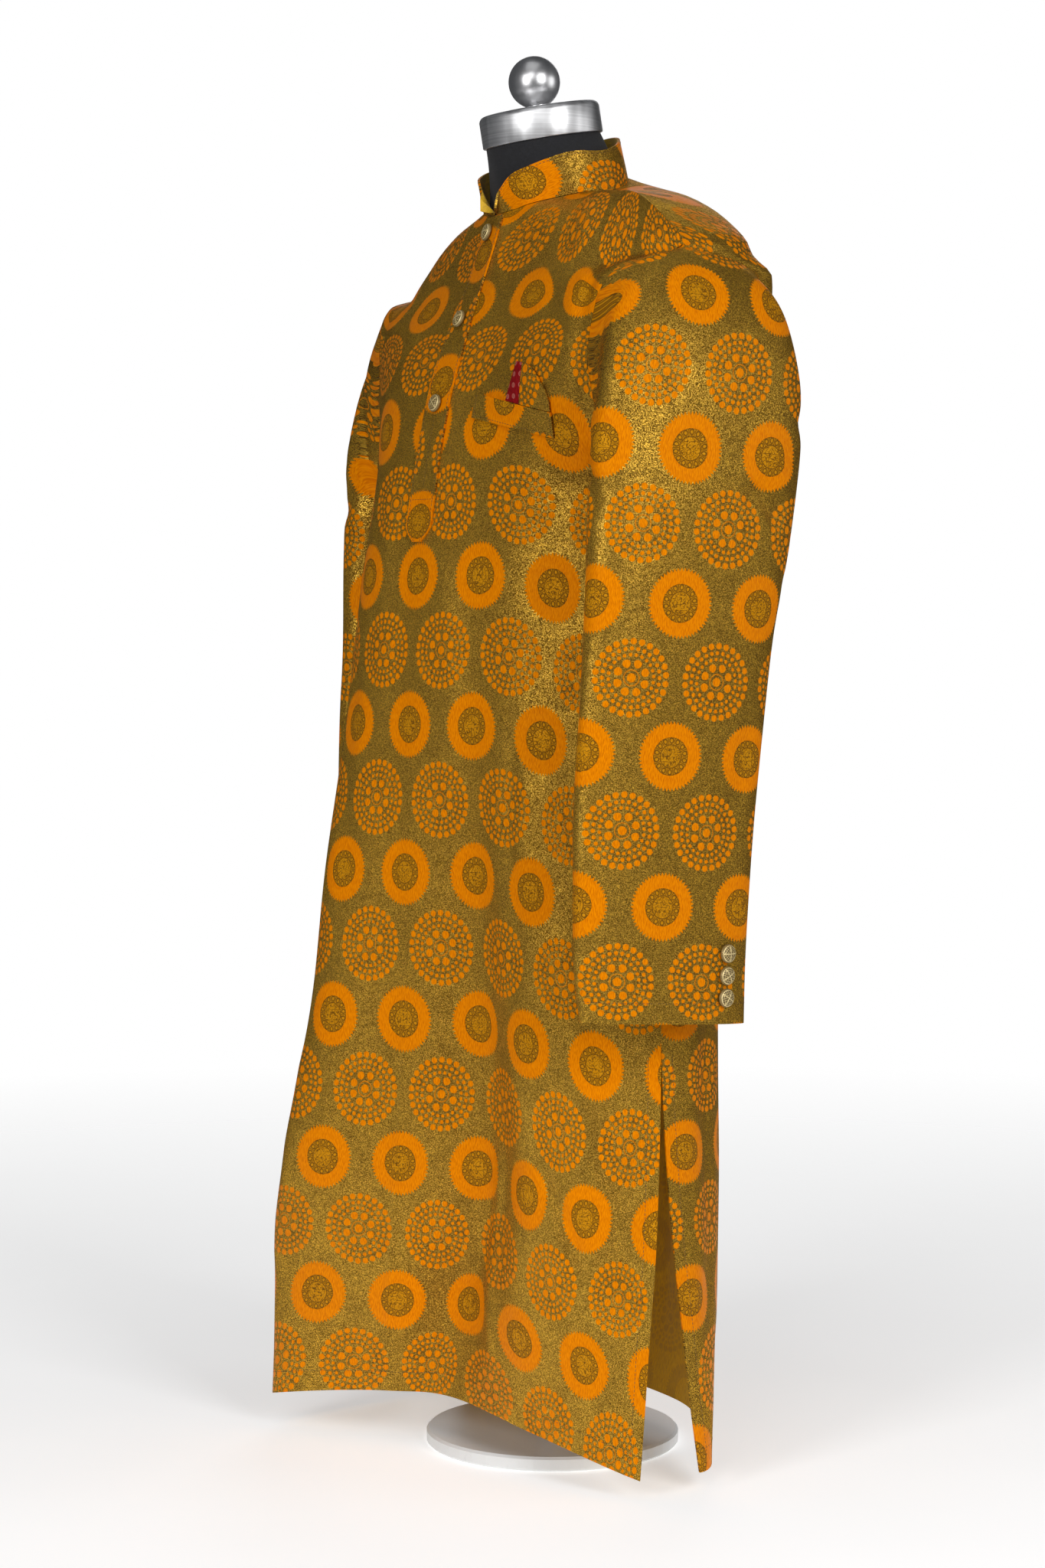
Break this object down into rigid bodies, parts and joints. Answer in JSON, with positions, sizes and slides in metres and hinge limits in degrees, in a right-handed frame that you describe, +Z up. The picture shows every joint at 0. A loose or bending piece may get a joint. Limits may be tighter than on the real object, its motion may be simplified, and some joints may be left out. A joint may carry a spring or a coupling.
{
  "type": "kurta on dress form",
  "caption": "Knee-length brocade kurta with stand collar, buttoned placket, chest pocket and side slits, worn on a limbless dress form with a round-based stand",
  "frame": {"origin": "centre of the stand base's underside, on the pole's axis", "axes": "+Z up, -Y the way the wearer faces, +X the wearer's left"},
  "size_m": [0.524, 0.3088, 1.1417],
  "materials": {
    "brocade": "jacquard of bright orange roundels on a brown and metallic-gold ground, with a yellow reverse",
    "maroon_brocade": "maroon weave with small pale rings",
    "button_metal": "antique pale-gold filigree",
    "black_jersey": "matte black knit",
    "cap_steel": "turned and lightly brushed",
    "ball_steel": "polished",
    "pole_steel": "brushed",
    "base_enamel": "pale satin enamel"
  },
  "bodies": {
    "root": {"front_panel": "brocade", "back_panel": "brocade", "sleeve_left": "brocade", "sleeve_right": "brocade", "collar": "brocade", "placket": "brocade", "pocket_welt": "brocade", "square_brocade": "brocade", "square_maroon": "maroon_brocade", "front_button_1": "button_metal", "front_button_2": "button_metal", "front_button_3": "button_metal", "left_cuff_button_1": "button_metal", "left_cuff_button_2": "button_metal", "left_cuff_button_3": "button_metal", "right_cuff_button_1": "button_metal", "right_cuff_button_2": "button_metal", "right_cuff_button_3": "button_metal", "form_torso": "black_jersey", "neck_cap": "cap_steel", "ball_finial": "ball_steel", "stand_pole": "pole_steel", "stand_base": "base_enamel"}
  },
  "joints": []
}
